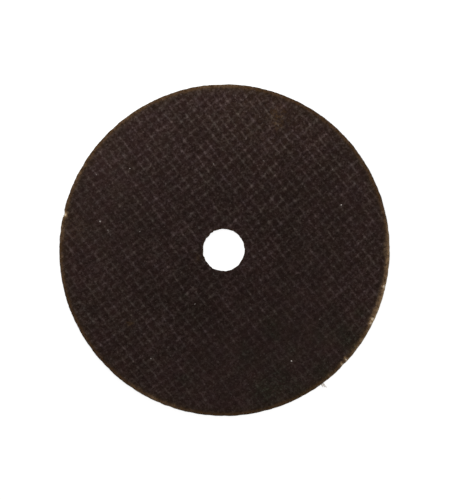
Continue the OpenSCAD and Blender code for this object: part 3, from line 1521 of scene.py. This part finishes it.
@dataclass
class FrayedStrand:
    """A strand of glass that has frayed out of the rim's upper edge into a tuft of fibres.

    Each fibre is given by the X and Y of its root and of its tip, in millimetres.
    """

    fibres_mm: Tuple[Tuple[float, float, float, float], ...] = (
        (22.2, -30.2, 23.6, -31.5),
        (22.0, -30.4, 23.2, -31.4),
        (21.9, -30.5, 22.8, -31.4),
    )
    root_height: float = 1.2 * MM
    droop: float = 0.3 * MM
    curl: float = 0.12 * MM
    radius: float = 0.15 * MM
    taper: float = 0.4
    stations: int = 14
    sides: int = 8

    def fibre(self, root: Array, tip: Array) -> Array:
        """The points of a fibre: a round profile carried along its path.

        At a share s of the way the path lies on the straight line from root to tip, moved
        sideways by curl * sin(pi * s) and lowered by droop * s^2. The profile's radius is
        radius * (1 - taper * s). The middles of both ends come last.

        Args:
            root: X and Y of the root.
            tip: X and Y of the tip.

        Returns:
            The points.
        """
        share = np.linspace(0.0, 1.0, self.stations)[:, None]
        along = (tip - root) / np.linalg.norm(tip - root)
        across = np.array([-along[1], along[0]])
        flat = root + share * (tip - root) + self.curl * np.sin(np.pi * share) * across
        path = np.hstack([flat, self.root_height - self.droop * share ** 2])
        angles = 2.0 * np.pi * np.arange(self.sides)[:, None] / self.sides
        circle = np.hstack([np.cos(angles) * across, np.sin(angles)])
        radii = self.radius * (1.0 - self.taper * share)
        rings = path[:, None, :] + radii[:, :, None] * circle[None, :, :]
        return np.concatenate([rings.reshape(-1, 3), path[:1], path[-1:]])

    def sheath(self) -> Tuple[Array, Array]:
        """The closed surface of a fibre: quads along it, and a fan of triangles at each end.

        Returns:
            Corner numbers of the quads and of the triangles.
        """
        count = self.stations * self.sides
        number = np.arange(count).reshape(self.stations, self.sides)
        beside = np.roll(number, -1, axis=1)
        walls = np.stack([number[:-1], beside[:-1], beside[1:], number[1:]], axis=2)
        root_fan = np.stack([np.full(self.sides, count), beside[0], number[0]], axis=1)
        tip_fan = np.stack([np.full(self.sides, count + 1), number[-1], beside[-1]], axis=1)
        return walls.reshape(-1, 4), np.concatenate([root_fan, tip_fan])

    def build(self) -> Piece:
        """Builds the tuft as one piece.

        Returns:
            The piece.
        """
        fibres = [self.fibre(*(np.array(ends).reshape(2, 2) * MM)) for ends in self.fibres_mm]
        starts = len(fibres[0]) * np.arange(len(fibres))[:, None, None]
        faces: List[List[int]] = []
        for part in self.sheath():
            faces += (part[None, :, :] + starts).reshape(-1, part.shape[1]).tolist()
        return fill_mesh("frayed_glass_strand", np.concatenate(fibres), faces)

    def dress(self, piece: Piece, groups: NodeGroups) -> None:
        """Gives the fibres their finish."""
        piece.data.materials.append(FibreFinish(name="bare_glass_fibre", roughness=0.55).build(groups))


@dataclass(frozen=True)
class Lamp:
    """A square area lamp aimed at the wheel's middle."""

    name: str
    place: Tuple[float, float, float]
    size: float
    watts: float

    def build(self) -> bpy.types.Object:
        """Makes the lamp.

        Returns:
            The lamp, not yet linked to the scene.
        """
        light = bpy.data.lights.new(self.name, "AREA")
        light.size = self.size
        light.energy = self.watts
        lamp = bpy.data.objects.new(self.name, light)
        lamp.location = self.place
        lamp.rotation_euler = (-Vector(self.place)).to_track_quat("-Z", "Y").to_euler()
        lamp.visible_camera = False
        return lamp


@dataclass
class Studio:
    """The white floor, soft light and camera round the wheel."""

    sizes: WheelSizes
    lamps: Tuple[Lamp, ...] = (
        Lamp("upper_softbox", (-0.02, 0.053, 0.087), 0.07, 0.099),
        Lamp("side_fill", (0.12, -0.09, 0.05), 0.06, 0.08),
    )
    white: Colour = (1.0, 1.0, 1.0, 1.0)
    surround: float = 0.215
    floor_half: float = 1.5
    floor_drop: float = 0.01 * MM
    floor_tone: Colour = (0.8, 0.8, 0.8, 1.0)
    shadow_tone: Colour = (0.25, 0.25, 0.25, 1.0)
    floor_glow: float = 0.92
    lean: float = math.radians(5.6)
    side: float = math.radians(-18.0)
    distance_in_radii: float = 18.5
    view_height: float = 0.11453
    aim_x: float = 0.36 * MM
    aim_y: float = -0.03 * MM
    sensor_mm: float = 36.0
    clip_near: float = 0.01
    clip_far: float = 10.0

    @staticmethod
    def seen(desk: NodeDesk) -> Socket:
        """Tells rays that should see white from those that light the wheel.

        Args:
            desk: The desk for the floor's or the surround's nodes.

        Returns:
            The socket with 1 for rays from the camera, gloss or glass, and 0 for others.
        """
        path = desk.add("ShaderNodeLightPath")
        mirrored = desk.math("MAXIMUM", path["Is Camera Ray"], path["Is Glossy Ray"])
        return desk.math("MAXIMUM", mirrored, path["Is Transmission Ray"])

    def floor(self) -> None:
        """A white floor under the wheel that shows as white and keeps a faint shadow."""
        corners = np.array([(-1.0, -1.0), (1.0, -1.0), (1.0, 1.0), (-1.0, 1.0)]) * self.floor_half
        points = np.hstack([corners, np.full((4, 1), -self.floor_drop)])
        floor = fill_mesh("studio_floor", points, [[0, 1, 2, 3]])
        material = bpy.data.materials.new("studio_white")
        material.use_nodes = True
        material.node_tree.nodes.clear()
        desk = NodeDesk(material.node_tree)
        plain = desk.add("ShaderNodeBsdfDiffuse", {"Color": self.floor_tone})[0]
        shaded = desk.add("ShaderNodeBsdfDiffuse", {"Color": self.shadow_tone})[0]
        glow = desk.add("ShaderNodeEmission", {"Strength": self.floor_glow})[0]
        bright = desk.add("ShaderNodeAddShader", {0: shaded, 1: glow})[0]
        choice = desk.add("ShaderNodeMixShader", {0: self.seen(desk), 1: plain, 2: bright})[0]
        desk.add("ShaderNodeOutputMaterial", {0: choice})
        floor.data.materials.append(material)

    def world(self) -> None:
        """A white surround that lights the wheel evenly and shows as white."""
        world = bpy.data.worlds.new("studio_surround")
        world.use_nodes = True
        bpy.context.scene.world = world
        desk = NodeDesk(world.node_tree)
        background = world.node_tree.nodes["Background"]
        background.inputs["Color"].default_value = self.white
        level = desk.math("MAXIMUM", self.seen(desk), self.surround)
        desk.put(background.inputs["Strength"], level)

    def camera(self) -> bpy.types.Object:
        """A long lens almost straight above the wheel, a little to its right, with +Y up.

        Returns:
            The camera, not yet linked to the scene.
        """
        distance = self.distance_in_radii * self.sizes.radius
        aim = Vector((self.aim_x, self.aim_y, self.sizes.thickness))
        flat = math.sin(self.lean)
        back = Vector((flat * math.cos(self.side), flat * math.sin(self.side), math.cos(self.lean)))
        right = Vector((0.0, 1.0, 0.0)).cross(back).normalized()
        up = back.cross(right)
        data = bpy.data.cameras.new("overhead_camera")
        data.sensor_width = self.sensor_mm
        data.lens = data.sensor_width * distance / self.view_height
        data.clip_start = self.clip_near
        data.clip_end = self.clip_far
        camera = bpy.data.objects.new("overhead_camera", data)
        turn = Matrix((right, up, back)).transposed().to_4x4()
        camera.matrix_world = Matrix.Translation(aim + back * distance) @ turn
        return camera

    def build(self) -> None:
        """Sets up the floor, lights and camera."""
        scene = bpy.context.scene
        scene.view_settings.view_transform = "Standard"
        self.floor()
        self.world()
        scene.camera = self.camera()
        for item in (*(lamp.build() for lamp in self.lamps), scene.camera):
            scene.collection.objects.link(item)


def main() -> None:
    """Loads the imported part, dresses it and sets up the studio."""
    logging.basicConfig(level=logging.INFO)
    rim_land = 0.8 * MM
    bore_land = 0.5 * MM
    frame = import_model()
    sizes = WheelSizes.from_frame(frame)
    mesh = GlassMesh(reach=sizes.radius - rim_land, inner_reach=sizes.bore_radius + bore_land)
    groups = NodeGroups()
    wheel = WheelBody(sizes, mesh)
    for assembly in (wheel, GritGrains(wheel), FrayedStrand()):
        piece = assembly.build()
        assembly.dress(piece, groups)
        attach(piece, BODY)
        if assembly is wheel:
            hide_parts(NODE)
        LOG.info("%s: %d faces", piece.name, len(piece.data.polygons))
    Studio(sizes).build()


if __name__ == "__main__":
    main()
